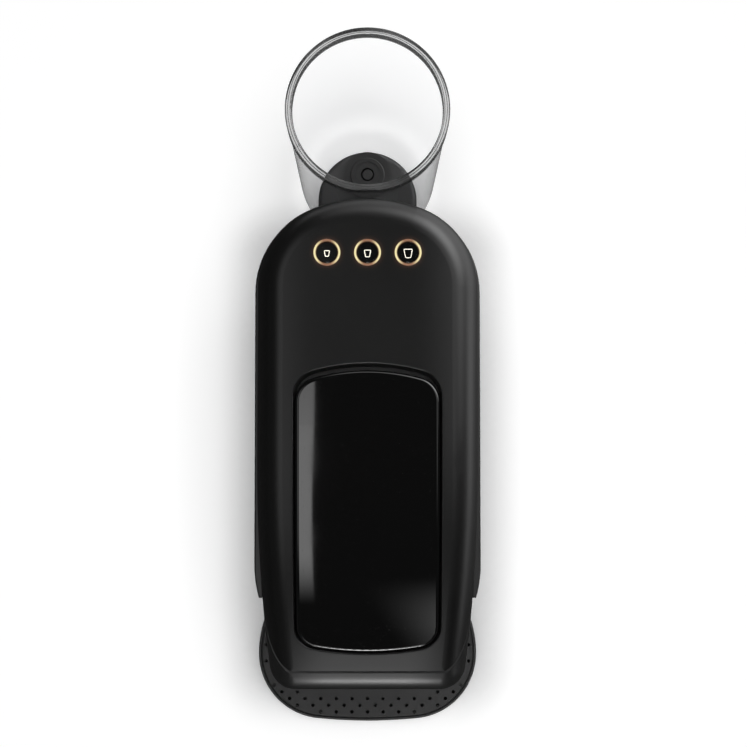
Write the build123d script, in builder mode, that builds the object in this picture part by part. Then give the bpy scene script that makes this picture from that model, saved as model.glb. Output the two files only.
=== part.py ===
from build123d import *
import os
from math import cos, radians, sin, sqrt

os.makedirs("parts", exist_ok=True)

# Pod coffee machine, in millimetres: +X right, -Y front, +Z up, Z = 0 on the counter.

# Body in plan
body_width = 120.0
body_rear_y = 106.0
rear_radius = 85.0  # arc across the back of the body
shoulder_radius = 48.0  # arcs from the back into the straight sides
shell_front_y = -106.4
shell_curl_y = -89.0  # the shell's front ends start to curl inwards here
shell_curl = 2.5
shell_wall = 2.0
shell_gap = 0.3  # side shell to the core that it wraps
column_front_y = -82.0
bay_radius = 16.0  # hollow corner between the column and the head
panel_wall = 2.5

# Heights
foot_height = 3.0
base_top_z = 12.0
base_wall = 3.0
top_z = 250.0
cover_height = 28.0  # top of the cover down to its parting line
head_height = 90.0  # top of the cover down to the head's underside

# Head and top cover
head_wall = 2.5
taper_start_y = -40.0
nose_reach = 21.6  # nose ahead of the lever's front edge
nose_half_width = 51.0
nose_corner_radius = 14.0
crown_radius = 14.0  # rounding of the cover's top edge
chin_radius = 10.0
slope_start_y = -16.0  # the flat top begins to fall towards the nose
slope_fall = 22.98  # fall of the top from there to the lever's front edge
parting_groove = 0.6  # shadow line round the cover's lower edge
rim_round = 0.8  # top edge of the side shell

# Lever and its hinge
lever_width = 75.0
lever_rear_y = 12.4
lever_front_y = -134.3
lever_bulge = 4.5  # of the front edge
lever_arch = 7.0  # of the rear edge
lever_rear_corner = 13.0
lever_front_corner = 11.5
lever_skin = 2.5
lever_skirt = 9.0
lever_draft = 7.5  # degrees, so that the front wall swings clear of the recess
lever_edge = 2.2
recess_gap = 0.8
recess_rear_gap = 3.6
recess_edge = 0.7
hinge_inset = 16.4  # hinge axis ahead of the lever's rear end
hinge_drop = 7.0  # hinge axis below the flat top
pin_diameter = 4.0
pin_bore = 2.0
pin_fit = 0.05
knuckle_diameter = 7.6
ear_x = 22.0
ear_width = 6.0
ear_gap = 0.4
swing_gap = 0.5

# Pod well, brew chamber and spout
well_wall = 2.0
well_deck_drop = 26.0  # top of the cover down to the well's deck
well_floor_drop = 44.0
well_setback = 34.0  # rear of the deep end behind the pod's axis
pod_setback = 26.3  # pod's axis behind the lever's front edge
pod_diameter = 37.0
pod_depth = 26.0
chamber_wall = 2.0
chamber_flange = 3.0
flange_height = 2.0
outlet_diameter = 6.0
pierce_plate_height = 1.5
spike_height = 4.0
spout_lead = 12.0  # nozzle ahead of the pod's axis
spout_diameter = 14.0
spout_bore = 6.0
spout_reach = 12.0  # nozzle below the head's underside
spout_gap = 0.4
seal_height = 3.0
seal_gap = 0.3
needle_diameter = 3.0
needle_length = 7.0

# Buttons and light rings
button_y = 73.4
button_pitch = 21.0
ring_diameter = 13.9
ring_width = 1.3
ring_flange = 1.2
button_gap = 0.25
button_travel = 1.0
press_gap = 0.3
board_thickness = 1.6
switch_height = 3.0
switch_size = 6.0
button_board_drop = 14.0

# Water tank and dock
tank_axis_y = 153.8
tank_diameter = 88.4
tank_rim_drop = 22.0  # rim below the top of the cover
tank_base_z = 45.0
tank_wall = 2.6
tank_floor = 3.0
tank_lip_height = 11.0
tank_lip_width = 3.7
tank_rest_gap = 0.3
dock_half_width = 32.0
dock_centre_y = 138.0
dock_socket_diameter = 22.0
dock_socket_depth = 16.0
valve_diameter = 16.0
valve_flange_diameter = 22.0
valve_plate_diameter = 30.0
valve_stub = 10.0
valve_gap = 0.3
poppet_diameter = 8.0
poppet_travel = 2.5
hose_diameter = 6.0
hose_bore = 3.5

# Drip tray and grate
tray_width = 139.6
tray_gap = 2.9  # tray's rear to the column
tray_front_depth = 43.3  # widest line to the front edge
tray_front_radius = 320.0
tray_top_z = 43.0
tray_wall = 2.5
tray_rest_gap = 0.3
grate_rim = 1.4
grate_gap = 0.4
grate_height = 2.6
grate_hole = 2.2
grate_pitch = 10.0
grate_row = 4.25
grate_row_inset = 5.7  # front row of holes behind the tray's front edge
grate_rows = 7
band_outer = 1.8  # holed band, measured in from the grate's edge
band_inner = 13.5

# Values worked out from those above
half_width = body_width / 2
core_inset = shell_wall + shell_gap
parting_z = top_z - cover_height
head_underside_z = top_z - head_height
nose_y = lever_front_y - nose_reach
slope_radius = ((slope_start_y - lever_front_y) ** 2 + slope_fall**2) / (2 * slope_fall)
hinge_y = lever_rear_y - hinge_inset
hinge_z = top_z - hinge_drop
recess_rear_y = lever_rear_y + recess_rear_gap
well_deck_z = top_z - well_deck_drop
well_floor_z = top_z - well_floor_drop
pod_axis_y = lever_front_y + pod_setback
well_rear_y = pod_axis_y + well_setback
spout_y = pod_axis_y - spout_lead
spout_tip_z = head_underside_z - spout_reach
button_board_z = top_z - button_board_drop
tank_radius = tank_diameter / 2
tank_rim_z = top_z - tank_rim_drop
tray_half = tray_width / 2
tray_centre_y = column_front_y - tray_gap - tray_half
tray_front_y = tray_centre_y - tray_front_depth
ring_radius = ring_diameter / 2
ring_inner_radius = ring_radius - ring_width
button_radius = ring_inner_radius - button_gap
button_names = ("small", "medium", "large")
button_x = [(index - 1) * button_pitch for index in range(3)]


# Plan outlines and side profiles
def body_outline(inset, front):
    """Closed body plan drawn in by inset; front(side_x) draws the way round from side to side."""
    side = half_width - inset
    rear = rear_radius - inset
    shoulder = shoulder_radius - inset
    rear_centre_y = body_rear_y - rear_radius
    reach = rear - shoulder
    shoulder_y = rear_centre_y + sqrt(reach**2 - (side - shoulder) ** 2)
    joint_x = rear * (side - shoulder) / reach
    joint_y = rear_centre_y + rear * (shoulder_y - rear_centre_y) / reach
    with BuildSketch() as plan:
        with BuildLine():
            ends = front(side)
            Line(ends[1], (side, shoulder_y))
            TangentArc((side, shoulder_y), (joint_x, joint_y), tangent=(0, 1))
            ThreePointArc((joint_x, joint_y), (0, rear_centre_y + rear), (-joint_x, joint_y))
            TangentArc((-side, shoulder_y), (-joint_x, joint_y), tangent=(0, 1))
            Line((-side, shoulder_y), ends[0])
        make_face()
    return plan.sketch


def core_outline(inset):
    """Plan of the core: straight sides that draw in to a square nose with round corners."""
    nose = nose_y + inset
    nose_x = nose_half_width - inset

    def front(side):
        TangentArc((-side, taper_start_y), (-nose_x, nose), tangent=(0, -1))
        Line((-nose_x, nose), (nose_x, nose))
        TangentArc((side, taper_start_y), (nose_x, nose), tangent=(0, -1))
        return (-side, taper_start_y), (side, taper_start_y)

    return body_outline(core_inset + inset, front)


def shell_outline(inset):
    """Plan of the side shell, whose front ends curl inwards."""
    end_y = shell_front_y + inset

    def front(side):
        TangentArc((-side, shell_curl_y), (shell_curl - side, end_y), tangent=(0, -1))
        Line((shell_curl - side, end_y), (side - shell_curl, end_y))
        TangentArc((side, shell_curl_y), (side - shell_curl, end_y), tangent=(0, -1))
        return (-side, shell_curl_y), (side, shell_curl_y)

    return body_outline(inset, front)


def crown_z(y, drop):
    """Height of the top surface at y, lowered by drop square to the surface."""
    if y >= slope_start_y:
        return top_z - drop
    return top_z - slope_radius + sqrt((slope_radius - drop) ** 2 - (y - slope_start_y) ** 2)


def crown_line(drop, rear, front):
    """Side view of the top surface, lowered by drop, from rear to front."""
    Line((rear, top_z - drop), (slope_start_y, top_z - drop))
    TangentArc((slope_start_y, top_z - drop), (front, crown_z(front, drop)), tangent=(-1, 0))


def crown_layer(drop, depth, rear, front):
    """Side profile of a layer that follows the top surface from drop down to drop + depth."""
    low = drop + depth
    with BuildSketch() as profile:
        with BuildLine():
            crown_line(drop, rear, front)
            crown_line(low, rear, front)
            Line((rear, top_z - low), (rear, top_z - drop))
            Line((front, crown_z(front, drop)), (front, crown_z(front, low)))
        make_face()
    return profile.sketch


def crown_block(drop, floor_z, rear, front):
    """Side profile of everything between a flat floor and the top surface lowered by drop."""
    with BuildSketch() as profile:
        with BuildLine():
            crown_line(drop, rear, front)
            Polyline((front, crown_z(front, drop)), (front, floor_z), (rear, floor_z), (rear, top_z - drop))
        make_face()
    return profile.sketch


def head_form(inset):
    """Core of the head and cover as one rounded solid, drawn in by inset on every side."""
    bottom_z = head_underside_z + inset
    with BuildPart() as form:
        with BuildSketch(Plane.XY.offset(bottom_z)) as plan:
            add(core_outline(inset))
            fillet(plan.vertices().group_by(Axis.Y)[0], nose_corner_radius - inset)
        extrude(amount=top_z - bottom_z)
        with BuildSketch(Plane.YZ):
            add(crown_block(inset, base_top_z, body_rear_y, nose_y - crown_radius))
        extrude(amount=half_width, both=True, mode=Mode.INTERSECT)
        fillet(form.faces().sort_by(Axis.Z)[0].edges(), chin_radius - inset)
        upper_edges = form.faces().filter_by(lambda face: face.normal_at().Z > 0.5).edges()
        fillet(upper_edges.filter_by(lambda edge: edge.center().Y != slope_start_y), crown_radius - inset)
    return form.part


def lever_plan(grow, rear_y):
    """Plan of the lever, grown by grow: an arched rear edge, soft corners and a bulged front edge."""
    side = lever_width / 2
    corner_y = lever_front_y + lever_bulge
    shoulder_y = rear_y - lever_arch
    with BuildSketch() as plan:
        with BuildLine():
            Line((-side, corner_y), (-side, shoulder_y))
            ThreePointArc((-side, shoulder_y), (0, rear_y), (side, shoulder_y))
            Line((side, shoulder_y), (side, corner_y))
            ThreePointArc((side, corner_y), (0, lever_front_y), (-side, corner_y))
        make_face()
        fillet(plan.vertices().group_by(Axis.Y)[-1], lever_rear_corner)
        fillet(plan.vertices().group_by(Axis.Y)[0], lever_front_corner)
        if grow:
            offset(amount=grow)
    return plan.sketch


def recess_plan(grow):
    """Plan of the recess round the lever, with a wider gap behind it."""
    return lever_plan(recess_gap + grow, recess_rear_y - recess_gap)


def tray_plan(inset):
    """Plan of the drip tray: a half circle behind, a flattened round front."""
    half = tray_half - inset
    front_y = tray_front_y + inset
    depth = tray_centre_y - front_y
    front = tray_front_radius - inset
    corner = (2 * depth * front - half**2 - depth**2) / (2 * (front - half))
    share = corner / (front - corner)
    joint_x = (half - corner) * (1 + share)
    joint_y = tray_centre_y - (front - depth) * share
    with BuildSketch() as plan:
        with BuildLine():
            ThreePointArc((-half, tray_centre_y), (0, tray_centre_y + half), (half, tray_centre_y))
            TangentArc((half, tray_centre_y), (joint_x, joint_y), tangent=(0, -1))
            ThreePointArc((joint_x, joint_y), (0, front_y), (-joint_x, joint_y))
            TangentArc((-half, tray_centre_y), (-joint_x, joint_y), tangent=(0, -1))
        make_face()
    return plan.sketch


def dock_plan():
    """Plan of the tongue under the tank, rounded at the back."""
    with BuildSketch() as plan:
        with Locations((0, dock_centre_y)):
            Circle(dock_half_width)
            Rectangle(2 * dock_half_width, dock_centre_y, align=(Align.CENTER, Align.MAX))
    return plan.sketch


def hose(points, radius):
    """Plain water hose along straight runs joined by bends of one radius."""
    with BuildPart() as tube:
        with BuildLine() as route:
            FilletPolyline(*points, radius=radius)
        with BuildSketch(Plane(origin=route.line @ 0, z_dir=route.line % 0)):
            Circle(hose_diameter / 2)
            Circle(hose_bore / 2, mode=Mode.SUBTRACT)
        sweep()
    return tube.part


def keep(part, name):
    """Label a finished piece and write it."""
    part.label = name
    export_step(part, f"parts/{name}.step")


# Base pan: a tray turned over, with a tongue under the drip tray and one under the tank
tongue_inset = 8.0
neck_width = 100.0
foot_diameter = 14.0
front_foot_lead = 12.0
foot_rows = [(46.0, 60.0), (46.0, -60.0), (42.0, tray_centre_y - front_foot_lead)]
foot_places = [(sign * x, y) for x, y in foot_rows for sign in (-1, 1)] + [(0.0, tank_axis_y)]
screw_diameter = 3.2
screw_head_diameter = 6.4
screw_head_height = 2.4
screw_head_gap = 0.3
screw_reach = 14.0
boss_diameter = 8.0
screw_x = half_width - shell_wall - boss_diameter / 2 + shell_wall / 2
screw_rows = (40.0, -30.0)
screw_places = [(sign * screw_x, y) for y in screw_rows for sign in (-1, 1)]

with BuildPart() as base_pan:
    with BuildSketch(Plane.XY.offset(foot_height)) as footprint:
        add(shell_outline(0))
        with Locations((0, column_front_y)):
            Rectangle(body_width, body_width, align=(Align.CENTER, Align.MAX), mode=Mode.SUBTRACT)
        with Locations((0, column_front_y)):
            Rectangle(neck_width, column_front_y - tray_centre_y, align=(Align.CENTER, Align.MAX))
        add(tray_plan(tongue_inset))
        add(dock_plan())
    extrude(amount=base_top_z - foot_height)
    with BuildSketch(Plane.XY.offset(foot_height)):
        add(footprint.sketch_local)
        offset(amount=-base_wall, mode=Mode.REPLACE)
    extrude(amount=base_top_z - foot_height - base_wall, mode=Mode.SUBTRACT)
    with BuildSketch(Plane.XY.offset(foot_height)):
        with Locations(foot_places):
            Circle(foot_diameter / 2 + base_wall / 2)
    extrude(amount=base_top_z - foot_height - base_wall)
    with Locations([(x, y, base_top_z - base_wall) for x, y in screw_places]):
        Hole(screw_diameter / 2)
        Cylinder(
            screw_head_diameter / 2 + screw_head_gap,
            base_top_z,
            align=(Align.CENTER, Align.CENTER, Align.MAX),
            mode=Mode.SUBTRACT,
        )
keep(base_pan.part, "base_pan")

with BuildPart() as rubber_feet:
    with BuildSketch():
        with Locations(foot_places):
            Circle(foot_diameter / 2)
    extrude(amount=foot_height)
    chamfer(rubber_feet.faces().group_by(Axis.Z)[0].edges(), foot_height / 4)
keep(rubber_feet.part, "rubber_feet")

with BuildPart() as base_screws:
    with Locations([(x, y, base_top_z - base_wall) for x, y in screw_places]):
        Cylinder(screw_head_diameter / 2, screw_head_height, align=(Align.CENTER, Align.CENTER, Align.MAX))
        Cylinder(screw_diameter / 2, base_wall + screw_reach, align=(Align.CENTER, Align.CENTER, Align.MIN))
keep(base_screws.part, "base_screws")

# Housing: the side shell, C-shaped from the side, open to the front
suction_z = tank_base_z - tank_rest_gap - dock_socket_depth + hose_diameter / 2 + 1.0
hose_gap = 0.4
gland_y = 8.0
gland_z = 26.0
gland_diameter = 12.0
gland_flange = 16.0
gland_bore = 7.0
gland_flange_height = 2.0

with BuildPart() as housing:
    with BuildSketch(Plane.XY.offset(base_top_z)):
        add(shell_outline(0))
    extrude(amount=parting_z - base_top_z)
    fillet(housing.faces().sort_by(Axis.Z)[-1].edges(), rim_round)
    with BuildSketch(Plane.XY.offset(base_top_z)):
        add(core_outline(-shell_gap))
    extrude(amount=parting_z - base_top_z, mode=Mode.SUBTRACT)
    with BuildSketch(Plane.YZ) as bay:
        with Locations((column_front_y, base_top_z)):
            Rectangle(body_width, head_underside_z - base_top_z, align=(Align.MAX, Align.MIN))
        fillet(bay.vertices().group_by(Axis.X)[-1].sort_by(Axis.Y)[-1], bay_radius)
    extrude(amount=half_width, both=True, mode=Mode.SUBTRACT)
    with Locations([(x, y, base_top_z) for x, y in screw_places]):
        Cylinder(boss_diameter / 2, screw_reach + base_wall, align=(Align.CENTER, Align.CENTER, Align.MIN))
        Cylinder(
            screw_diameter / 2,
            screw_reach,
            align=(Align.CENTER, Align.CENTER, Align.MIN),
            mode=Mode.SUBTRACT,
        )
    with Locations(Location((0, body_rear_y, suction_z), (90, 0, 0))):
        Cylinder(hose_diameter / 2 + hose_gap, 4 * shell_wall, mode=Mode.SUBTRACT)
    with Locations(Location((-half_width, gland_y, gland_z), (0, 90, 0))):
        Cylinder(gland_diameter / 2, 4 * shell_wall, mode=Mode.SUBTRACT)
keep(housing.part, "housing")

with BuildPart() as cord_gland:
    with Locations(Location((-half_width, gland_y, gland_z), (0, -90, 0))):
        Cylinder(gland_flange / 2, gland_flange_height, align=(Align.CENTER, Align.CENTER, Align.MIN))
        Cylinder(gland_diameter / 2, shell_wall, align=(Align.CENTER, Align.CENTER, Align.MAX))
    with Locations(Location((-half_width + shell_wall, gland_y, gland_z), (0, -90, 0))):
        Cylinder(gland_flange / 2, gland_flange_height, align=(Align.CENTER, Align.CENTER, Align.MAX))
        Cylinder(gland_bore / 2, 4 * gland_flange_height + shell_wall, mode=Mode.SUBTRACT)
keep(cord_gland.part, "cord_gland")

with BuildPart() as column_front:
    with BuildSketch(Plane.XY.offset(base_top_z)):
        add(core_outline(0))
    extrude(amount=head_underside_z + head_wall - base_top_z)
    with Locations((0, column_front_y, base_top_z)):
        Box(body_width, panel_wall, top_z, align=(Align.CENTER, Align.MIN, Align.MIN), mode=Mode.INTERSECT)
keep(column_front.part, "column_front")

# Head shell and top cover: one rounded form, parted level all round
outer_form = head_form(0)
inner_form = head_form(head_wall)
with BuildPart() as groove_ring:
    add(outer_form)
    add(head_form(parting_groove), mode=Mode.SUBTRACT)
    split(bisect_by=Plane.XY.offset(parting_z), keep=Keep.TOP)
    split(bisect_by=Plane.XY.offset(parting_z + parting_groove), keep=Keep.BOTTOM)

with BuildPart() as head_shell:
    add(outer_form)
    add(inner_form, mode=Mode.SUBTRACT)
    split(bisect_by=Plane.XY.offset(parting_z), keep=Keep.BOTTOM)
    split(bisect_by=Plane.XZ.offset(-column_front_y), keep=Keep.TOP)
    with Locations((0, spout_y, head_underside_z)):
        Cylinder(spout_diameter / 2 + spout_gap, 4 * head_wall, mode=Mode.SUBTRACT)
keep(head_shell.part, "head_shell")

board_top_z = button_board_z + board_thickness
board_boss_diameter = 4.0
with BuildPart() as top_cover:
    add(outer_form)
    add(inner_form, mode=Mode.SUBTRACT)
    split(bisect_by=Plane.XY.offset(parting_z), keep=Keep.TOP)
    add(groove_ring.part, mode=Mode.SUBTRACT)
    with BuildSketch(Plane.XY.offset(parting_z)):
        add(recess_plan(0))
    extrude(amount=top_z - parting_z, mode=Mode.SUBTRACT)
    recess_rim = top_cover.edges().filter_by(
        lambda edge: abs(edge.center().X) < lever_width / 2 + 2 * recess_gap
        and lever_front_y - 2 * recess_gap < edge.center().Y <= recess_rear_y
        and abs(edge.center().Z - crown_z(edge.center().Y, 0)) < head_wall / 4
    )
    fillet(recess_rim, recess_edge)
    with Locations([(x, button_y, top_z) for x in button_x]):
        Cylinder(ring_radius, 4 * head_wall, mode=Mode.SUBTRACT)
    with Locations([(sign * button_pitch / 2, button_y, board_top_z) for sign in (-1, 1)]):
        Cylinder(
            board_boss_diameter / 2,
            top_z - head_wall / 2 - board_top_z,
            align=(Align.CENTER, Align.CENTER, Align.MIN),
        )
keep(top_cover.part, "top_cover")

# Pod well: a stepped tub under the lever, with a deep end for the pod
chamber_radius = pod_diameter / 2 + chamber_wall
chamber_hole_gap = 0.2
feed_x = 31.0  # the brew hose comes up through the deck here
knuckle_radius = knuckle_diameter / 2
with BuildPart() as pod_well:
    with BuildSketch(Plane.XY.offset(well_floor_z - well_wall)):
        add(recess_plan(well_wall))
    extrude(amount=top_z - well_floor_z)
    with Locations((0, well_rear_y + well_wall, well_deck_z - well_wall)):
        Box(body_width, body_width, top_z, align=(Align.CENTER, Align.MIN, Align.MAX), mode=Mode.SUBTRACT)
    with BuildSketch(Plane.XY.offset(well_deck_z)):
        add(recess_plan(0))
    extrude(amount=top_z - well_deck_z, mode=Mode.SUBTRACT)
    with BuildSketch(Plane.XY.offset(well_floor_z)):
        add(recess_plan(0))
        with Locations((0, well_rear_y)):
            Rectangle(body_width, body_width, align=(Align.CENTER, Align.MIN), mode=Mode.SUBTRACT)
    extrude(amount=top_z - well_floor_z, mode=Mode.SUBTRACT)
    add(inner_form, mode=Mode.INTERSECT)
    with Locations((0, pod_axis_y, well_floor_z)):
        Cylinder(chamber_radius + chamber_hole_gap, 4 * well_wall, mode=Mode.SUBTRACT)
    with Locations((feed_x, hinge_y, well_deck_z)):
        Cylinder(hose_diameter / 2 + hose_gap, 4 * well_wall, mode=Mode.SUBTRACT)
keep(pod_well.part, "pod_well")

# Brew chamber: the cup that holds the pod, hung in the well by its flange
pod_axis = Axis((0, pod_axis_y, 0), (0, 0, 1))
pod_taper = 1.5
chamber_top_z = well_floor_z + flange_height
chamber_floor_z = chamber_top_z - pod_depth
chamber_bottom_z = chamber_floor_z - chamber_wall
with BuildPart() as brew_chamber:
    with BuildSketch(Plane.XZ.offset(-pod_axis_y)):
        with BuildLine():
            Polyline(
                (outlet_diameter / 2, chamber_bottom_z),
                (chamber_radius - pod_taper, chamber_bottom_z),
                (chamber_radius, well_floor_z),
                (chamber_radius + chamber_flange, well_floor_z),
                (chamber_radius + chamber_flange, chamber_top_z),
                (pod_diameter / 2, chamber_top_z),
                (pod_diameter / 2 - pod_taper, chamber_floor_z),
                (outlet_diameter / 2, chamber_floor_z),
                close=True,
            )
        make_face()
    revolve(axis=pod_axis)
keep(brew_chamber.part, "brew_chamber")

spike_circle = 8.0
drain_circle = 12.5
drain_hole = 1.6
with BuildPart() as pierce_plate:
    with Locations((0, pod_axis_y, chamber_floor_z)):
        plate_radius = pod_diameter / 2 - pod_taper - chamber_hole_gap
        Cylinder(plate_radius, pierce_plate_height, align=(Align.CENTER, Align.CENTER, Align.MIN))
    with Locations((0, pod_axis_y, chamber_floor_z + pierce_plate_height)):
        with PolarLocations(spike_circle, 3):
            Cone(drain_hole, drain_hole / 8, spike_height, align=(Align.CENTER, Align.CENTER, Align.MIN))
        with PolarLocations(drain_circle, 8):
            Hole(drain_hole / 2)
keep(pierce_plate.part, "pierce_plate")

# Coffee spout: a slanted funnel that carries the coffee forward to the nozzle
funnel_diameter = 24.0
spout_neck_z = head_underside_z + 3 * head_wall
with BuildPart() as coffee_spout:
    for top, bottom, mode in (
        (funnel_diameter, spout_diameter, Mode.ADD),
        (outlet_diameter, spout_bore, Mode.SUBTRACT),
    ):
        with BuildSketch(Plane.XY.offset(chamber_bottom_z)):
            with Locations((0, pod_axis_y)):
                Circle(top / 2)
        with BuildSketch(Plane.XY.offset(spout_neck_z)):
            with Locations((0, spout_y)):
                Circle(bottom / 2)
        loft(mode=mode)
        with Locations((0, spout_y, spout_neck_z)):
            Cylinder(
                bottom / 2,
                spout_neck_z - spout_tip_z,
                align=(Align.CENTER, Align.CENTER, Align.MAX),
                mode=mode,
            )
keep(coffee_spout.part, "coffee_spout")

# Hinge: two ears on the well's deck and a hollow pin that also feeds water to the lever
bracket_depth = 14.0
bracket_plate = 2.0
ear_outer_x = ear_x + ear_width / 2
with BuildPart() as hinge_bracket:
    with Locations((ear_x, hinge_y, well_deck_z)):
        Box(ear_width, bracket_depth, bracket_plate, align=(Align.CENTER, Align.CENTER, Align.MIN))
    with BuildSketch(Plane.YZ.offset(ear_x)):
        with Locations((hinge_y, hinge_z)):
            Circle(knuckle_radius)
            Rectangle(knuckle_diameter, hinge_z - well_deck_z, align=(Align.CENTER, Align.MAX))
            Circle(pin_diameter / 2, mode=Mode.SUBTRACT)
    extrude(amount=ear_width / 2, both=True)
    mirror(about=Plane.YZ)
keep(hinge_bracket.part, "hinge_bracket")

with BuildPart() as hinge_pin:
    with BuildSketch(Plane.YZ.offset(-ear_outer_x)):
        with Locations((hinge_y, hinge_z)):
            Circle(pin_diameter / 2)
            Circle(pin_bore / 2, mode=Mode.SUBTRACT)
    extrude(amount=2 * ear_outer_x)
keep(hinge_pin.part, "hinge_pin")

# Lever: a gloss skin, a frame with two knuckles, a swivel, a hose and the injection head
notch_inner_x = ear_x - ear_width / 2 - swing_gap
notch_outer_x = lever_width / 2 - lever_skin
with BuildPart() as lever_space:
    with BuildSketch(Plane.XY.offset(well_floor_z)):
        add(lever_plan(-lever_skin, lever_rear_y))
    extrude(amount=top_z - well_floor_z)
    with BuildSketch(Plane.YZ):
        add(crown_layer(lever_skin, lever_skirt, recess_rear_y, lever_front_y))
    extrude(amount=lever_width, both=True, mode=Mode.INTERSECT)

draft_top_z = crown_z(lever_front_y, 1.5 * lever_edge)
draft_angle = radians(lever_draft)
beyond_y = lever_front_y - lever_skirt
with BuildPart() as lever_shell:
    with BuildSketch(Plane.XY.offset(well_floor_z)):
        add(lever_plan(0, lever_rear_y))
    extrude(amount=top_z - well_floor_z)
    with BuildSketch(Plane.YZ):
        add(crown_layer(0, lever_skirt, recess_rear_y, beyond_y))
    extrude(amount=lever_width, both=True, mode=Mode.INTERSECT)
    lever_top = lever_shell.faces().filter_by(lambda face: face.normal_at().Z > 0.5).edges()
    fillet(lever_top.filter_by(lambda edge: edge.center().Y != slope_start_y), lever_edge)
    with BuildSketch(Plane.XY.offset(draft_top_z)):
        add(lever_plan(0, recess_rear_y + lever_width))
    extrude(amount=top_z, dir=(0, -sin(draft_angle), cos(draft_angle)), both=True, mode=Mode.INTERSECT)
    add(lever_space.part, mode=Mode.SUBTRACT)
    for sign in (-1, 1):
        with Locations((sign * notch_inner_x, hinge_y - knuckle_radius - swing_gap, top_z - lever_skin)):
            Box(
                notch_outer_x - notch_inner_x,
                2 * hinge_inset,
                lever_skirt,
                align=(Align.MIN if sign > 0 else Align.MAX, Align.MIN, Align.MAX),
                mode=Mode.SUBTRACT,
            )
keep(lever_shell.part, "lever_shell")

frame_gap = 0.15
frame_plate = 2.5
frame_drop = lever_skin + frame_gap
arm_reach = 6.0  # the frame's plate stops this far ahead of the hinge axis
knuckle_width = 6.0
knuckle_x = ear_x - ear_width / 2 - ear_gap - knuckle_width / 2
with BuildPart() as lever_frame:
    with BuildSketch(Plane.XY.offset(well_floor_z)):
        add(lever_plan(-lever_skin - frame_gap, hinge_y - arm_reach))
    extrude(amount=top_z - well_floor_z)
    with BuildSketch(Plane.YZ):
        add(crown_layer(frame_drop, frame_plate, recess_rear_y, lever_front_y))
    extrude(amount=lever_width, both=True, mode=Mode.INTERSECT)
    with BuildSketch(Plane.YZ.offset(knuckle_x)):
        with Locations((hinge_y, hinge_z)):
            Circle(knuckle_radius)
            Rectangle(3 * arm_reach, knuckle_radius, align=(Align.MAX, Align.MIN))
    extrude(amount=knuckle_width / 2, both=True)
    with BuildSketch(Plane.YZ.offset(-knuckle_x)):
        with Locations((hinge_y, hinge_z)):
            Circle(knuckle_radius)
            Rectangle(3 * arm_reach, knuckle_radius, align=(Align.MAX, Align.MIN))
    extrude(amount=knuckle_width / 2, both=True)
    with Locations(Location((0, hinge_y, hinge_z), (0, 90, 0))):
        Cylinder(pin_diameter / 2 + pin_fit, lever_width, mode=Mode.SUBTRACT)
keep(lever_frame.part, "lever_frame")

# Swivel: a collar on the hollow pin, with a spigot for the lever's hose
swivel_width = 10.0
spigot_reach = 7.0
spigot_drop = 2.0
with BuildPart() as lever_swivel:
    with Locations(Location((0, hinge_y, hinge_z), (0, 90, 0))):
        Cylinder(knuckle_radius, swivel_width)
    with Locations(Location((0, hinge_y, hinge_z - spigot_drop), (90, 0, 0))):
        Cylinder(hose_bore / 2, spigot_reach, align=(Align.CENTER, Align.CENTER, Align.MIN))
    with Locations(Location((0, hinge_y, hinge_z), (0, 90, 0))):
        Cylinder(pin_diameter / 2 + pin_fit, swivel_width, mode=Mode.SUBTRACT)
keep(lever_swivel.part, "lever_swivel")

seal_bottom_z = chamber_top_z + seal_gap
head_bottom_z = seal_bottom_z + seal_height
head_radius = pod_diameter / 2
inlet_z = well_deck_z + 2.0
inlet_reach = 20.0
inlet_diameter = 8.0
with BuildPart() as injection_head:
    with Locations((0, pod_axis_y, head_bottom_z)):
        Cylinder(head_radius, top_z - head_bottom_z, align=(Align.CENTER, Align.CENTER, Align.MIN))
    with BuildSketch(Plane.YZ):
        add(crown_block(frame_drop + frame_plate, base_top_z, recess_rear_y, lever_front_y))
    extrude(amount=half_width, both=True, mode=Mode.INTERSECT)
    with Locations(Location((0, pod_axis_y + inlet_reach, inlet_z), (90, 0, 0))):
        Cylinder(inlet_diameter / 2, inlet_reach, align=(Align.CENTER, Align.CENTER, Align.MIN))
    fillet(injection_head.faces().sort_by(Axis.Z)[0].edges(), 1.0)
keep(injection_head.part, "injection_head")

with BuildPart() as head_seal:
    with Locations((0, pod_axis_y, seal_bottom_z)):
        Cylinder(chamber_radius, seal_height, align=(Align.CENTER, Align.CENTER, Align.MIN))
        Cylinder(head_radius - seal_height, 3 * seal_height, mode=Mode.SUBTRACT)
keep(head_seal.part, "head_seal")

with BuildPart() as injection_needle:
    with Locations((0, pod_axis_y, head_bottom_z)):
        Cylinder(needle_diameter / 2, needle_length, align=(Align.CENTER, Align.CENTER, Align.MAX))
    with Locations((0, pod_axis_y, head_bottom_z - needle_length)):
        Cone(
            needle_diameter / 2,
            0.2,
            needle_diameter,
            rotation=(180, 0, 0),
            align=(Align.CENTER, Align.CENTER, Align.MIN),
        )
keep(injection_needle.part, "injection_needle")

lever_hose_bend = 6.0
lever_hose_run = 40.0
lever_hose_fall = 4.5
lever_hose_drop = 8.0
lever_hose = hose(
    [
        (0, hinge_y - spigot_reach, hinge_z - spigot_drop),
        (0, hinge_y - lever_hose_run, hinge_z - lever_hose_fall),
        (0, pod_axis_y + inlet_reach + 2 * lever_hose_drop, inlet_z + lever_hose_drop),
        (0, pod_axis_y + inlet_reach + lever_hose_drop, inlet_z),
        (0, pod_axis_y + inlet_reach, inlet_z),
    ],
    lever_hose_bend,
)
keep(lever_hose, "lever_hose")

# Buttons: three caps that press down through lit rings onto their switches
ring_bottom_z = top_z - head_wall - ring_width
switch_top_z = board_top_z + switch_height
stem_diameter = 4.0
button_flange = 1.5
upright = (Align.CENTER, Align.CENTER, Align.MIN)

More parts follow.
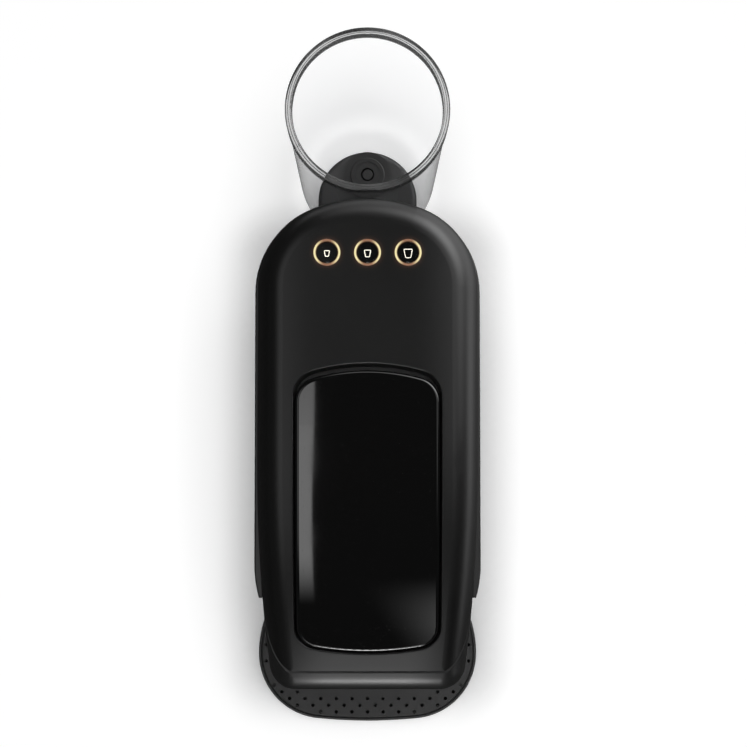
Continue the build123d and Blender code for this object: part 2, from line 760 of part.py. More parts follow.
with BuildPart() as light_rings:
    with Locations([(x, button_y, ring_bottom_z) for x in button_x]):
        Cylinder(ring_radius, top_z - ring_bottom_z, align=upright)
        Cylinder(ring_radius + ring_flange, ring_width, align=upright)
        Cylinder(ring_inner_radius, top_z, mode=Mode.SUBTRACT)
keep(light_rings.part, "light_rings")

for name, x in zip(button_names, button_x):
    stem_bottom_z = switch_top_z + button_travel + press_gap
    with BuildPart() as button:
        with Locations((x, button_y, ring_bottom_z - press_gap - button_flange)):
            Cylinder(button_radius, top_z - ring_bottom_z + press_gap + button_flange, align=upright)
            Cylinder(ring_radius, button_flange, align=upright)
        with Locations((x, button_y, stem_bottom_z)):
            Cylinder(stem_diameter / 2, ring_bottom_z - press_gap - stem_bottom_z, align=upright)
        chamfer(button.faces().sort_by(Axis.Z)[-1].edges(), button_gap)
    keep(button.part, f"button_{name}")

board_margin = 9.0
with BuildPart() as button_board:
    with Locations((0, button_y, button_board_z)):
        Box(2 * (button_pitch + board_margin), 2 * board_margin, board_thickness, align=upright)
keep(button_board.part, "button_board")

with BuildPart() as tact_switches:
    with Locations([(x, button_y, board_top_z) for x in button_x]):
        Box(switch_size, switch_size, switch_height, align=upright)
keep(tact_switches.part, "tact_switches")

light_size = 1.6
with BuildPart() as button_lights:
    with Locations([(x, button_y, board_top_z) for x in button_x]):
        with GridLocations(0, 2 * ring_inner_radius, 1, 2):
            Box(2 * light_size, light_size, light_size, align=upright)
keep(button_lights.part, "button_lights")

# Tank dock: a hollow-fronted tongue behind the housing, with a socket for the tank's valve
tank_axis = Axis((0, tank_axis_y, 0), (0, 0, 1))
dock_top_z = tank_base_z - tank_rest_gap
socket_floor_z = dock_top_z - dock_socket_depth
dock_edge = 3.0
lift_pin_diameter = 4.0
poppet_lift_z = tank_base_z - valve_stub - poppet_travel  # underside of the poppet's stem
with BuildPart() as tank_dock:
    with BuildSketch(Plane.XY.offset(base_top_z)):
        add(dock_plan())
    extrude(amount=dock_top_z - base_top_z)
    fillet(tank_dock.faces().sort_by(Axis.Z)[-1].edges().sort_by(Axis.Y)[1:], dock_edge)
    with BuildSketch(Plane.XY.offset(base_top_z)):
        add(shell_outline(-shell_gap))
    extrude(amount=dock_top_z - base_top_z, mode=Mode.SUBTRACT)
    with Locations((0, tank_axis_y, socket_floor_z)):
        Cylinder(dock_socket_diameter / 2, dock_socket_depth, align=upright, mode=Mode.SUBTRACT)
        Cylinder(lift_pin_diameter / 2, poppet_lift_z - press_gap - socket_floor_z, align=upright)
    with Locations(Location((0, tank_axis_y - dock_socket_diameter / 4, suction_z), (90, 0, 0))):
        Cylinder(hose_diameter / 2 + hose_gap, tank_axis_y - body_rear_y, align=upright, mode=Mode.SUBTRACT)
keep(tank_dock.part, "tank_dock")

dock_seal_height = 3.0
valve_radius = valve_diameter / 2
with BuildPart() as dock_seal:
    with Locations((0, tank_axis_y, dock_top_z - dock_seal_height - 1.0)):
        Cylinder(dock_socket_diameter / 2, dock_seal_height, align=upright)
        Cylinder(valve_radius + valve_gap, 3 * dock_seal_height, mode=Mode.SUBTRACT)
keep(dock_seal.part, "dock_seal")

filter_height = 0.8
with BuildPart() as dock_filter:
    with Locations((0, tank_axis_y, socket_floor_z)):
        Cylinder(dock_socket_diameter / 2, filter_height, align=upright)
        Cylinder(lift_pin_diameter / 2, 3 * filter_height, mode=Mode.SUBTRACT)
        for circle, count in ((4.5, 8), (7.5, 12)):
            with PolarLocations(circle, count):
                Hole(0.8)
keep(dock_filter.part, "dock_filter")

# Water tank: a clear cylinder with a thick lip, a flat on the lip's front and three lid notches
tank_step = 0.8
tank_outer = tank_radius - tank_step
tank_corner = 3.0
lip_edge = 0.9
lip_flat = 0.6
notch_width = 2.0
notch_depth = 0.6
with BuildPart() as water_tank:
    with BuildSketch(Plane.XZ.offset(-tank_axis_y)) as wall_profile:
        with BuildLine():
            Polyline(
                (valve_radius, tank_base_z),
                (tank_outer, tank_base_z),
                (tank_outer, tank_rim_z - tank_lip_height),
                (tank_radius, tank_rim_z - tank_lip_height + tank_step),
                (tank_radius, tank_rim_z),
                (tank_radius - tank_lip_width, tank_rim_z),
                (tank_radius - tank_lip_width, tank_rim_z - tank_lip_height),
                (tank_outer - tank_wall, tank_rim_z - tank_lip_height - tank_step),
                (tank_outer - tank_wall, tank_base_z + tank_floor),
                (valve_radius, tank_base_z + tank_floor),
                close=True,
            )
        make_face()
        fillet(wall_profile.vertices().group_by(Axis.Y)[0].sort_by(Axis.X)[-1], tank_corner)
        fillet(wall_profile.vertices().group_by(Axis.Y)[-1], lip_edge)
    revolve(axis=tank_axis)
    with Locations((0, tank_axis_y - tank_radius + lip_flat, tank_rim_z)):
        Box(
            tank_radius,
            tank_radius,
            4 * tank_lip_height,
            align=(Align.CENTER, Align.MAX, Align.CENTER),
            mode=Mode.SUBTRACT,
        )
    with Locations((0, tank_axis_y, tank_rim_z)):
        with PolarLocations(tank_radius, 3, start_angle=90):
            Box(2 * tank_lip_width, notch_width, 2 * notch_depth, mode=Mode.SUBTRACT)
keep(water_tank.part, "water_tank")

valve_flange_height = 2.0
stem_gap = 0.3
poppet_stem = 4.4
poppet_head = 2.2
poppet_cap_gap = 0.9
valve_groove_radius = 7.8
valve_bottom_z = tank_base_z - valve_stub
valve_seat_z = valve_bottom_z + 3.0
tank_floor_z = tank_base_z + tank_floor
with BuildPart() as valve_body:
    with Locations((0, tank_axis_y, valve_bottom_z)):
        Cylinder(valve_radius, tank_floor_z - valve_bottom_z, align=upright)
    with Locations((0, tank_axis_y, tank_floor_z)):
        Cylinder(valve_plate_diameter / 2, valve_flange_height / 3, align=upright)
        Cylinder(valve_flange_diameter / 2, valve_flange_height, align=upright)
    fillet(valve_body.faces().sort_by(Axis.Z)[-1].edges(), valve_flange_height / 4)
    with BuildSketch(Plane.XY.offset(tank_floor_z + valve_flange_height)):
        with Locations((0, tank_axis_y)):
            Circle(valve_groove_radius + valve_flange_height / 4)
            Circle(valve_groove_radius - valve_flange_height / 4, mode=Mode.SUBTRACT)
    extrude(amount=-valve_flange_height / 3, mode=Mode.SUBTRACT)
    with Locations((0, tank_axis_y, valve_seat_z)):
        Cylinder(poppet_diameter / 2 + stem_gap, top_z, align=upright, mode=Mode.SUBTRACT)
    with Locations((0, tank_axis_y, valve_bottom_z)):
        Cylinder(poppet_stem / 2 + stem_gap, 3 * valve_stub, mode=Mode.SUBTRACT)
keep(valve_body.part, "valve_body")

with BuildPart() as valve_poppet:
    with Locations((0, tank_axis_y, poppet_lift_z)):
        Cylinder(poppet_stem / 2, valve_seat_z + stem_gap + poppet_travel - poppet_lift_z, align=upright)
    with Locations((0, tank_axis_y, valve_seat_z + stem_gap + poppet_travel)):
        Cone(poppet_diameter / 2, poppet_stem / 2, poppet_head, align=upright)
    with Locations((0, tank_axis_y, tank_floor_z + valve_flange_height - valve_gap)):
        Cylinder(
            poppet_diameter / 2 + stem_gap - poppet_cap_gap,
            tank_floor_z + valve_flange_height - valve_seat_z - poppet_travel - poppet_head,
            align=(Align.CENTER, Align.CENTER, Align.MAX),
        )
    fillet(valve_poppet.faces().sort_by(Axis.Z)[-1].edges(), poppet_cap_gap / 2)
keep(valve_poppet.part, "valve_poppet")

# Drip tray and the holed grate that lies in its rim
tray_base_z = base_top_z + tray_rest_gap
grate_seat_z = tray_top_z - grate_height - grate_gap
ledge_width = 2.5
ledge_height = 2.0
tray_corner = 5.0
rim_edge = 0.8
with BuildPart() as drip_tray:
    with BuildSketch(Plane.XY.offset(tray_base_z)):
        add(tray_plan(0))
    extrude(amount=tray_top_z - tray_base_z)
    fillet(drip_tray.faces().sort_by(Axis.Z)[0].edges(), tray_corner)
    fillet(drip_tray.faces().sort_by(Axis.Z)[-1].edges(), rim_edge)
    for inset, low_z, high_z in (
        (tray_wall, tray_base_z + tray_wall, grate_seat_z - ledge_height),
        (grate_rim + ledge_width, grate_seat_z - 2 * ledge_height, grate_seat_z),
        (grate_rim, grate_seat_z, tray_top_z),
    ):
        with BuildSketch(Plane.XY.offset(low_z)):
            add(tray_plan(inset))
        extrude(amount=high_z - low_z, mode=Mode.SUBTRACT)
keep(drip_tray.part, "drip_tray")

grate_inset = grate_rim + grate_gap
outer_band = tray_plan(grate_inset + band_outer).face()
inner_band = tray_plan(grate_inset + band_inner).face()
side_hole_inset = 4.8
side_hole_pitch = 10.4
side_hole_x = tray_half - side_hole_inset
side_hole_rows = (tray_centre_y + side_hole_pitch / 2, tray_centre_y - side_hole_pitch / 2)
hole_places = [(sign * side_hole_x, y) for y in side_hole_rows for sign in (-1, 1)]
for row in range(grate_rows):
    hole_y = tray_front_y + grate_row_inset + row * grate_row
    for column in range(-8, 9):
        place = (grate_pitch * (column + 0.5 * (row % 2)), hole_y)
        if outer_band.is_inside(place) and not inner_band.is_inside(place):
            hole_places.append(place)
drain_width = 2.4
drain_length = 26.0
drain_pitch = 8.0
with BuildPart() as drip_grate:
    with BuildSketch(Plane.XY.offset(tray_top_z - grate_height)):
        add(tray_plan(grate_inset))
    extrude(amount=grate_height)
    chamfer(drip_grate.faces().sort_by(Axis.Z)[-1].edges(), rim_edge)
    with BuildSketch(Plane.XY.offset(tray_top_z)):
        with Locations(hole_places):
            Circle(grate_hole / 2)
        with Locations((0, spout_y)):
            with GridLocations(drain_pitch, 0, 5, 1):
                SlotOverall(drain_length, drain_width, rotation=90)
    extrude(amount=-grate_height, mode=Mode.SUBTRACT)
keep(drip_grate.part, "drip_grate")

# Inner frame: a shelf on four legs over the pump, which carries the thermoblock
shelf_z = 100.0
shelf_thickness = 3.0
shelf_width = 76.0
shelf_depth = 90.0
leg_size = 8.0
with BuildPart() as inner_frame:
    with Locations((0, 0, shelf_z)):
        Box(shelf_width, shelf_depth, shelf_thickness, align=upright)
    with Locations((0, 0, base_top_z)):
        with GridLocations(shelf_width - leg_size, shelf_depth - leg_size, 2, 2):
            Box(leg_size, leg_size, shelf_z - base_top_z, align=upright)
    fillet(inner_frame.edges().filter_by(Axis.Z), 1.5)
keep(inner_frame.part, "inner_frame")

# Pump: a piston body along Y inside a square coil, held in two rubber saddles
pump_x = -8.0
pump_y = 8.0
pump_z = 46.0
pump_diameter = 32.0
pump_length = 76.0
coil_size = 40.0
coil_length = 34.0
saddle_width = 30.0
saddle_length = 8.0
saddle_gap = 0.1
nipple_diameter = 8.0
nipple_length = 4.0
pump_axis_frame = Location((pump_x, pump_y, pump_z), (90, 0, 0))
with BuildPart() as pump_body:
    with Locations(pump_axis_frame):
        Cylinder(pump_diameter / 2, pump_length)
        Cylinder(nipple_diameter / 2, pump_length + 2 * nipple_length)
    fillet(pump_body.edges().filter_by(GeomType.CIRCLE).group_by(SortBy.RADIUS)[-1], 2.0)
keep(pump_body.part, "pump_body")

with BuildPart() as pump_coil:
    with Locations((pump_x, pump_y, pump_z)):
        Box(coil_size, coil_length, coil_size)
        fillet(pump_coil.edges().filter_by(Axis.Y), 3.0)
    with Locations(pump_axis_frame):
        Cylinder(pump_diameter / 2 + saddle_gap, 2 * coil_length, mode=Mode.SUBTRACT)
keep(pump_coil.part, "pump_coil")

saddle_offset = (pump_length + coil_length) / 4
with BuildPart() as pump_mounts:
    with Locations([(pump_x, pump_y + sign * saddle_offset, base_top_z) for sign in (-1, 1)]):
        Box(saddle_width, saddle_length, pump_z - base_top_z, align=upright)
    with Locations(pump_axis_frame):
        Cylinder(pump_diameter / 2 + saddle_gap, 2 * pump_length, mode=Mode.SUBTRACT)
keep(pump_mounts.part, "pump_mounts")

# Flow meter: a short drum on the base with a flat for each hose
meter_x = 28.0
meter_y = 62.0
meter_diameter = 26.0
meter_height = 30.0
port_reach = 15.0
port_rise = 9.0
port_z = base_top_z + port_rise
with BuildPart() as flow_meter:
    with Locations((meter_x, meter_y, base_top_z)):
        Cylinder(meter_diameter / 2, meter_height, align=upright)
    fillet(flow_meter.faces().sort_by(Axis.Z)[-1].edges(), 2.0)
    with Locations(Location((meter_x, meter_y + port_reach, suction_z), (90, 0, 0))):
        Cylinder(nipple_diameter / 2, port_reach, align=upright)
    with Locations(Location((meter_x - port_reach, meter_y, port_z), (0, 90, 0))):
        Cylinder(nipple_diameter / 2, port_reach, align=upright)
keep(flow_meter.part, "flow_meter")

# Thermoblock on the shelf, with its heating element laid on top and a thermostat at its side
block_width = 60.0
block_depth = 40.0
block_height = 40.0
block_z = shelf_z + shelf_thickness
block_top_z = block_z + block_height
with BuildPart() as thermoblock:
    with Locations((0, 0, block_z)):
        Box(block_width, block_depth, block_height, align=upright)
    fillet(thermoblock.edges().filter_by(Axis.Z), 5.0)
    fillet(thermoblock.faces().sort_by(Axis.Z)[-1].edges(), 1.5)
keep(thermoblock.part, "thermoblock")

element_diameter = 6.6
element_span = 18.0
element_x = -8.0
element_tail = 28.0
element_lead = 22.0
element_z = block_top_z + element_diameter / 2
with BuildPart() as heating_element:
    with BuildLine() as element_route:
        FilletPolyline(
            (element_x - element_tail, -element_span / 2, element_z),
            (element_x + element_lead, -element_span / 2, element_z),
            (element_x + element_lead, element_span / 2, element_z),
            (element_x - element_tail, element_span / 2, element_z),
            radius=element_span / 2 - 0.5,
        )
    with BuildSketch(Plane(origin=element_route.line @ 0, z_dir=element_route.line % 0)):
        Circle(element_diameter / 2)
    sweep()
keep(heating_element.part, "heating_element")

thermostat_diameter = 16.0
thermostat_height = 8.0
with BuildPart() as thermostat:
    with Locations(Location((block_width / 2, 0, block_z + block_height / 2), (0, 90, 0))):
        Cylinder(thermostat_diameter / 2, thermostat_height, align=upright)
        Cylinder(thermostat_diameter / 4, thermostat_height + 2.0, align=upright)
keep(thermostat.part, "thermostat")

# Hoses, from the dock through the meter, pump and thermoblock to the hinge pin
hose_bend = 9.0
feed_bend = 5.0
feed_rise = 20.0
feed_drop = 36.0  # the feed stands upright from here to the deck
outlet_x = 22.0
heater_inlet_z = block_z + block_height / 4
pump_rear_y = pump_y + pump_length / 2 + nipple_length
pump_front_y = pump_y - pump_length / 2 - nipple_length
riser_lead = 20.0
riser_y = pump_front_y - riser_lead
suction_turn_gap = 13.0
suction_turn_y = meter_y + port_reach + suction_turn_gap
hose_routes = {
    "suction_hose": (
        hose_bend,
        [
            (0, tank_axis_y - dock_socket_diameter / 2, suction_z),
            (0, suction_turn_y, suction_z),
            (meter_x, suction_turn_y, suction_z),
            (meter_x, meter_y + port_reach, suction_z),
        ],
    ),
    "pump_hose": (
        hose_bend,
        [
            (meter_x - port_reach, meter_y, port_z),
            (pump_x, meter_y, port_z),
            (pump_x, meter_y + 4.0, pump_z),
            (pump_x, pump_rear_y, pump_z),
        ],
    ),
    "heater_hose": (
        hose_bend,
        [
            (pump_x, pump_front_y, pump_z),
            (pump_x, riser_y, pump_z),
            (pump_x, riser_y, heater_inlet_z),
            (pump_x, -block_depth / 2, heater_inlet_z),
        ],
    ),
    "brew_hose": (
        feed_bend,
        [
            (outlet_x, hinge_y, block_top_z),
            (outlet_x, hinge_y, block_top_z + feed_rise),
            (feed_x, hinge_y, well_deck_z - feed_drop),
            (feed_x, hinge_y, hinge_z),
            (ear_outer_x, hinge_y, hinge_z),
        ],
    ),
}
for name, (bend, points) in hose_routes.items():
    keep(hose(points, bend), name)

# Main board on posts against the housing's right wall
board_x = 45.0
board_y = 2.0
board_z = 42.0
board_length = 62.0
board_height = 56.0
post_diameter = 6.0
wall_x = half_width - shell_wall
with BuildPart() as main_board:
    with Locations((board_x, board_y, board_z)):
        Box(board_thickness, board_length, board_height, align=(Align.MIN, Align.CENTER, Align.MIN))
keep(main_board.part, "main_board")

with BuildPart() as board_posts:
    with Locations(Location((board_x + board_thickness, board_y, board_z + board_height / 2), (0, 90, 0))):
        with GridLocations(board_height - 2 * post_diameter, board_length - 2 * post_diameter, 2, 2):
            Cylinder(post_diameter / 2, wall_x - board_x - board_thickness, align=upright)
keep(board_posts.part, "board_posts")

relay_size = 20.0
relay_drop = 6.0  # relay and supply below the board's middle row
can_diameter = 10.0
can_height = 12.0
with BuildPart() as board_components:
    with Locations((board_x, board_y - board_length / 4, board_z + relay_size / 2 + relay_drop)):
        Box(can_height, relay_size, relay_size - 4.0, align=(Align.MAX, Align.CENTER, Align.CENTER))
    with Locations((board_x, board_y + board_length / 5, board_z + relay_size / 2 + relay_drop)):
        Box(can_height - 2.0, relay_size - 4.0, can_height, align=(Align.MAX, Align.CENTER, Align.CENTER))
    with Locations(Location((board_x, board_y, board_z + 0.7 * board_height), (0, -90, 0))):
        with GridLocations(0, board_length / 4, 1, 3):
            Cylinder(can_diameter / 2, can_height, align=upright)
keep(board_components.part, "board_components")
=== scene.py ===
import math

import bpy
import numpy as np
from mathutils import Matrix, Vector


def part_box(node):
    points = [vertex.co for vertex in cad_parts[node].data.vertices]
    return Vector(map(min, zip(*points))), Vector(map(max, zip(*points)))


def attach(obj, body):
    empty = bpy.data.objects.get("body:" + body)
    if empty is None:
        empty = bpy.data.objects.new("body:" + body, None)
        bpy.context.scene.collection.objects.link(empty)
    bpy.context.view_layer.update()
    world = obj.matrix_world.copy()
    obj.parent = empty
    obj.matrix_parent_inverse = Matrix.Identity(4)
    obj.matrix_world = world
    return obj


# The looks of a pod coffee machine: a finish for each of its materials, the cup signs
# on its buttons, and the pale floor, soft lights and camera of a view from above.
# Lengths are metres in the part's own frame: +Z is up and -Y is the machine's front.

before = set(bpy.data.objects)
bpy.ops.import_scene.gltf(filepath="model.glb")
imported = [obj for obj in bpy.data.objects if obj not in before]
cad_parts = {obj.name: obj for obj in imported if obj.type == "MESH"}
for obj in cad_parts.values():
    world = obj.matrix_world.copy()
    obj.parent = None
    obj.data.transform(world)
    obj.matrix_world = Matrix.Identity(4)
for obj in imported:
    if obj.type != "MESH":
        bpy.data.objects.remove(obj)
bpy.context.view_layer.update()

button_pitch = 0.021
button_y = 0.0734
ring_radius = 0.0063
painted_spill = 0.0034  # how far the painted glow of a ring reaches over the cover
lamp_radius = 0.0065  # the brightest line of a ring
cover_edge = (0.240, 0.246)  # heights over which the cover comes up into that painted glow
crown_start = 0.020  # the cover is level this far from its middle line
tank_y = 0.1538
tank_mid_wall = 0.0421  # radius between the inside and the outside of its wall
tank_wall_blend = 0.0004
tank_lip = (0.2190, 0.2215)  # heights over which the wall passes into the lip
lip_refraction_lines = 5200.0  # painted lines round the lip that stand in for its refraction, in radians to the metre
plastic_ior = 2.2
painted_shade_front = 0.06  # the floor's painted shade, under the tray, reaches this far before the housing
floor_half = 6.0
floor_points = 9


# Finishes

class Socket:
    """An output of a node; arithmetic on it adds Math nodes to the same tree."""

    def __init__(self, finish, link):
        self.finish, self.link = finish, link

    def math(self, operation, *others):
        """A Math node that takes this value first, then the others."""
        values = dict(enumerate((self,) + others))
        return self.finish.node("ShaderNodeMath", {"operation": operation}, values)

    def __add__(self, other):
        return self.math("ADD", other)

    __radd__ = __add__

    def __sub__(self, other):
        return self.math("SUBTRACT", other)

    def __rsub__(self, other):
        return self * -1.0 + other

    def __mul__(self, other):
        return self.math("MULTIPLY", other)

    __rmul__ = __mul__

    def __truediv__(self, other):
        return self.math("DIVIDE", other)

    def ramp(self, low, high, out_low=0.0, out_high=1.0):
        """Smooth step of this value from low..high to out_low..out_high."""
        return self.finish.node(
            "ShaderNodeMapRange", {"interpolation_type": "SMOOTHSTEP"},
            {"Value": self, "From Min": low, "From Max": high, "To Min": out_low, "To Max": out_high})


class Finish:
    """A material, world or light: its node tree, and one method that adds any node to it."""

    ends = {
        bpy.types.Material: "ShaderNodeOutputMaterial",
        bpy.types.World: "ShaderNodeOutputWorld",
        bpy.types.AreaLight: "ShaderNodeOutputLight",
    }

    def __init__(self, owner):
        self.owner = owner
        owner.use_nodes = True
        self.tree = owner.node_tree
        self.tree.nodes.clear()

    def node(self, kind, settings=None, inputs=None, out=0):
        """Adds a node, sets its settings, then feeds its sockets with values or links."""
        made = self.tree.nodes.new(kind)
        for key, value in (settings or {}).items():
            setattr(made, key, value)
        for key, value in (inputs or {}).items():
            if isinstance(value, Socket):
                self.tree.links.new(value.link, made.inputs[key])
            else:
                made.inputs[key].default_value = value
        return Socket(self, made.outputs[out]) if made.outputs else None

    def here(self):
        """Object coordinates, which are places in the part's own frame."""
        return self.node("ShaderNodeTexCoord", out="Object")

    def axes(self, vector):
        """The x, y and z of a vector."""
        return [self.node("ShaderNodeSeparateXYZ", None, {0: vector}, out=axis) for axis in range(3)]

    def ray(self, *kinds):
        """One for rays of the kinds named, else zero."""
        share = 0.0
        for kind in kinds:
            share = self.node("ShaderNodeLightPath", out="Is %s Ray" % kind).math("MAXIMUM", share)
        return share

    def noise(self, here, scale, detail=2.0):
        """Smooth noise from 0 to 1 at a number of waves to the metre."""
        inputs = {"Vector": here, "Scale": scale, "Detail": detail}
        return self.node("ShaderNodeTexNoise", None, inputs)

    def mix(self, share, first, second):
        """Colour that goes from first to second as share goes from 0 to 1."""
        inputs = {0: share, 6: first, 7: second}
        return self.node("ShaderNodeMix", {"data_type": "RGBA"}, inputs, out=2)

    def bump(self, height, depth):
        """Normal of a surface raised by height times depth metres."""
        return self.node("ShaderNodeBump", None, {"Height": height, "Distance": depth})

    def principled(self, **sockets):
        """The Principled shader with the sockets named, an underscore for each space."""
        inputs = {key.replace("_", " "): value for key, value in sockets.items()}
        return self.node("ShaderNodeBsdfPrincipled", None, inputs)

    def window(self, colour):
        """Shader that lets light straight through, tinted by a colour."""
        return self.node("ShaderNodeBsdfTransparent", None, {"Color": colour})

    def blend(self, share, first, second):
        """Shader that goes from first to second as share goes from 0 to 1."""
        return self.node("ShaderNodeMixShader", None, {0: share, 1: first, 2: second})

    def surface(self, shader):
        """Ends the tree at its output and gives the material, world or light back."""
        self.node(self.ends[type(self.owner)], None, {"Surface": shader})
        return self.owner


def shade(colour, factor=1.0):
    """A grey or colour as four numbers, made lighter or darker by a factor."""
    red, green, blue = colour if isinstance(colour, tuple) else (colour,) * 3
    return (red * factor, green * factor, blue * factor, 1.0)


def new_finish(name):
    """The finish of a new material."""
    return Finish(bpy.data.materials.new(name))


def button_distance(x, y):
    """Distance from the nearest button's axis, and how far to its left or right a point lies,
    from 0 to 1."""
    column = (x / button_pitch).math("ROUND").math("MINIMUM", 1.0).math("MAXIMUM", -1.0)
    across = x - column * button_pitch
    along = y - button_y
    away = (across * across + along * along).math("SQRT")
    return away, across.math("ABSOLUTE") / away.math("MAXIMUM", 0.0001)


def moulded(name, colour, roughness, grain=2400.0, depth=0.00003, glow=0.0, crown=0.0):
    """Moulded plastic: a fine spark grain in height and gloss, with a slow drift of tone over the
    part.
    The glow is a painted glow: emission around the rings of the buttons that stands in for the light
    they spill onto it. The crown is the curve, per metre, of a face that falls off gently towards its
    sides."""
    finish = new_finish(name)
    here = finish.here()
    x, y, z = finish.axes(here)
    spark = finish.noise(here, grain, 3.0)
    flow = finish.noise(here, 14.0, 3.0)
    drift = flow.ramp(0.3, 0.7) * 0.7 + spark * 0.3
    height = spark * depth
    if crown:
        fall = (x.math("ABSOLUTE") - crown_start).math("MAXIMUM", 0.0)
        height = height - fall * fall * (crown / 2.0)
    sockets = dict(
        Base_Color=finish.mix(drift, shade(colour, 0.82), shade(colour, 1.18)), IOR=plastic_ior,
        Roughness=(flow - 0.5) * 0.10 + (spark - 0.5) * 0.12 + roughness,
        Normal=finish.bump(height, 1.0))
    if glow:
        # painted glow: amber emission in a band round each ring, only where the cover rises to its
        # top
        away, _ = button_distance(x, y)
        painted_halo = (away - ring_radius).math("ABSOLUTE").ramp(0.0, painted_spill, 1.0, 0.0)
        amber = (glow, glow * 0.42, glow * 0.2, 1.0)
        sockets["Emission_Color"] = finish.mix(painted_halo * z.ramp(*cover_edge), shade(0.0), amber)
        sockets["Emission_Strength"] = 1.0
    return finish.surface(finish.principled(**sockets))


def gloss(name, colour, roughness=0.022):
    """Polished black plastic, with faint wiping marks and a few specks of dust."""
    finish = new_finish(name)
    here = finish.here()
    smear = finish.noise(here, 38.0, 4.0)
    speck = finish.noise(here, 1500.0, 1.0).ramp(0.76, 0.84)
    return finish.surface(finish.principled(
        Base_Color=finish.mix(speck, shade(colour), shade(colour, 4.0)), IOR=plastic_ior,
        Roughness=smear.ramp(0.35, 0.75) * 0.012 + speck * 0.2 + roughness,
        Normal=finish.bump(speck, 0.00002)))


def lit_ring(name):
    """Amber light guide: yellow-white to the left and right of its button, brown-pink before and
    behind it, and nearly dark away from its brightest line."""
    finish = new_finish(name)
    here = finish.here()
    x, y, _ = finish.axes(here)
    away, side = button_distance(x, y)
    lamp = finish.mix(side.ramp(0.25, 0.95), (0.20, 0.085, 0.055, 1.0), (0.86, 0.78, 0.42, 1.0))
    edge = (away - lamp_radius).math("ABSOLUTE").ramp(0.0003, 0.0008)
    dim = edge * 0.94 + finish.noise(here, 900.0) * 0.06
    return finish.surface(finish.principled(
        Base_Color=(0.10, 0.06, 0.03, 1.0), Roughness=0.25,
        Emission_Color=finish.mix(dim, lamp, (0.030, 0.012, 0.008, 1.0)), Emission_Strength=1.0))


def clear(name):
    """Clear moulded plastic: light passes straight through what faces it, with a faint shine. The
    outside of the wall and the lip turn a glossy grey where they are seen at a slant: a painted grey,
    with painted lines round the lip, that stands in for the reflections and refraction of clear
    plastic."""
    finish = new_finish(name)
    here = finish.here()
    x, y, z = finish.axes(here)
    wave = finish.noise(here, 30.0, 2.0)
    skin = finish.bump(wave, 0.00005)
    slant = finish.node("ShaderNodeLayerWeight", None, {"Blend": 0.5, "Normal": skin}, out="Facing")
    from_inside = finish.node("ShaderNodeNewGeometry", out="Backfacing")
    along = y - tank_y
    radius = (x * x + along * along).math("SQRT")
    outer = radius.ramp(tank_mid_wall - tank_wall_blend, tank_mid_wall + tank_wall_blend)
    outside = outer * (1.0 - from_inside)
    # painted reflection and refraction: how much dark grey shows on the outside of the wall at a
    # slant, and on the lip with its sine lines
    wall = outside * (slant.math("POWER", 8.0) * 0.85 + wave * 0.05 + 0.03) + 0.003
    line = (radius * lip_refraction_lines).math("SINE").ramp(0.2, 0.9)
    lip = slant.ramp(0.02, 0.36) * 0.50 + line * 0.42 + 0.44
    # the dark base colour of this grey is painted; its gloss is real
    grey = finish.principled(
        Base_Color=finish.mix(wave.ramp(0.35, 0.65), shade(0.025), shade(0.11)),
        Roughness=wave * 0.06 + 0.05, Normal=skin)
    shine = finish.principled(
        Base_Color=shade(1.0), Metallic=1.0, Roughness=wave * 0.04 + 0.03, Normal=skin)
    clean = finish.blend(outside * 0.04, finish.window((0.993, 0.994, 0.996, 1.0)), shine)
    body = finish.blend(wall + (lip - wall) * z.ramp(*tank_lip), clean, grey)
    pale, dark = finish.window(shade(0.985)), finish.window(shade(0.20))
    shadow = finish.blend(slant.ramp(0.5, 1.0), pale, dark)
    return finish.surface(finish.blend(finish.ray("Shadow"), body, shadow))


def metal(name, colour, roughness, stretch):
    """Metal with fine drawn lines: noise stretched by three factors, in tone, gloss and height."""
    finish = new_finish(name)
    drawn = finish.node("ShaderNodeMapping", None, {"Vector": finish.here(), "Scale": stretch})
    line = finish.noise(drawn, 1.0, 3.0)
    return finish.surface(finish.principled(
        Base_Color=finish.mix(line, shade(colour, 0.78), shade(colour, 1.1)), Metallic=1.0,
        Roughness=(line - 0.5) * 0.22 + roughness, Normal=finish.bump(line, 0.00002)))


def rubber(name, colour, roughness=0.7, subsurface=0.0):
    """Rubber or silicone: a soft bloom of paler dust over a fine uneven skin."""
    finish = new_finish(name)
    here = finish.here()
    bloom = finish.noise(here, 90.0, 4.0)
    skin = finish.noise(here, 1200.0, 2.0)
    return finish.surface(finish.principled(
        Base_Color=finish.mix(bloom.ramp(0.4, 0.8), shade(colour), shade(colour, 1.35)),
        Roughness=(bloom - 0.5) * 0.2 + roughness, Subsurface_Weight=subsurface,
        Normal=finish.bump(skin, 0.00004)))


def circuit(name):
    """Green circuit board: paler copper tracks under the lacquer in two directions, and tinned
    points."""
    finish = new_finish(name)
    here = finish.here()
    x, y, z = finish.axes(here)
    lane = ((x + y * 0.35) * 420.0).math("SINE").ramp(0.55, 0.75)
    cross = ((y + z) * 310.0).math("SINE").ramp(0.7, 0.85)
    track = lane.math("MAXIMUM", cross)
    point = finish.noise(here, 700.0, 0.0).ramp(0.74, 0.78)
    lacquer = finish.mix(track, (0.012, 0.085, 0.035, 1.0), (0.03, 0.17, 0.07, 1.0))
    return finish.surface(finish.principled(
        Base_Color=finish.mix(point, lacquer, (0.55, 0.54, 0.5, 1.0)), Metallic=point,
        Roughness=point * -0.1 + 0.38, Normal=finish.bump(track, 0.00003)))


def lamp_lens(name):
    """White diffuser of a small lamp, warmer in patches."""
    finish = new_finish(name)
    patch = finish.noise(finish.here(), 400.0)
    return finish.surface(finish.principled(
        Base_Color=finish.mix(patch, (0.85, 0.80, 0.66, 1.0), (0.93, 0.91, 0.86, 1.0)),
        Roughness=0.4, Emission_Strength=0.5,
        Emission_Color=finish.mix(patch, (0.8, 0.6, 0.3, 1.0), (1.0, 0.85, 0.5, 1.0))))


